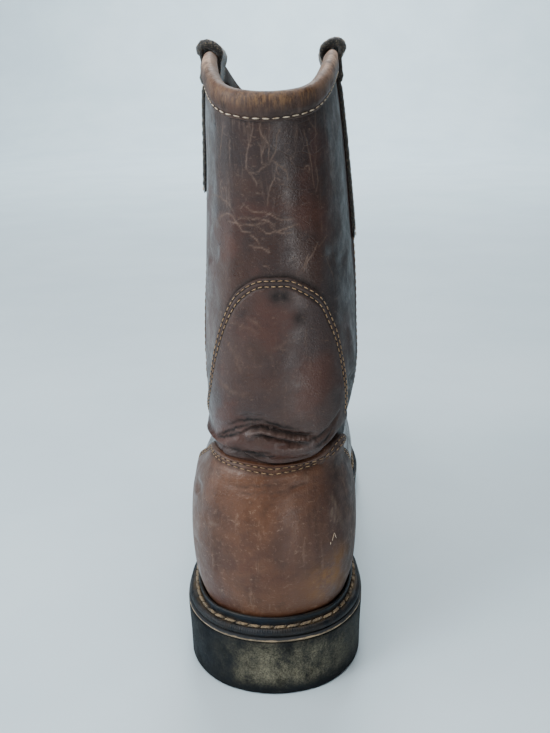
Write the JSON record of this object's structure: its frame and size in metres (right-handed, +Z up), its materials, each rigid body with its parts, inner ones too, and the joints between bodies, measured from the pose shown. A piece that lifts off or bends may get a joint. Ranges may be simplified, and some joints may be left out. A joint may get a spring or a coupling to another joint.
{
  "type": "western work boot",
  "caption": "Left pull-on western work boot with a scalloped collar, pull straps, back panel, counter, storm welt and a moulded rubber sole with a block heel.",
  "frame": {"origin": "centre of the boot's bounding box, on the floor that it stands on", "axes": "+Z up, +Y from heel to toe, +X towards the medial side of this left boot"},
  "size_m": [0.108, 0.3118, 0.2897],
  "materials": {
    "outsole": "matt moulded rubber with dust",
    "midsole": "matt tan edge",
    "welt": "satin blue-black strip",
    "insole": "matt",
    "upper": "oiled dark brown, worn",
    "counter": "redder brown, worn",
    "back_panel": "oiled dark brown, creased",
    "collar": "warm brown, rubbed pale at its edge",
    "strap": "dark brown with black edges"
  },
  "bodies": {
    "root": {"outsole": "outsole", "midsole": "midsole", "welt": "welt", "insole": "insole", "upper": "upper", "counter": "counter", "back_panel": "back_panel", "collar": "collar", "strap_lateral": "strap", "strap_medial": "strap"}
  },
  "joints": []
}
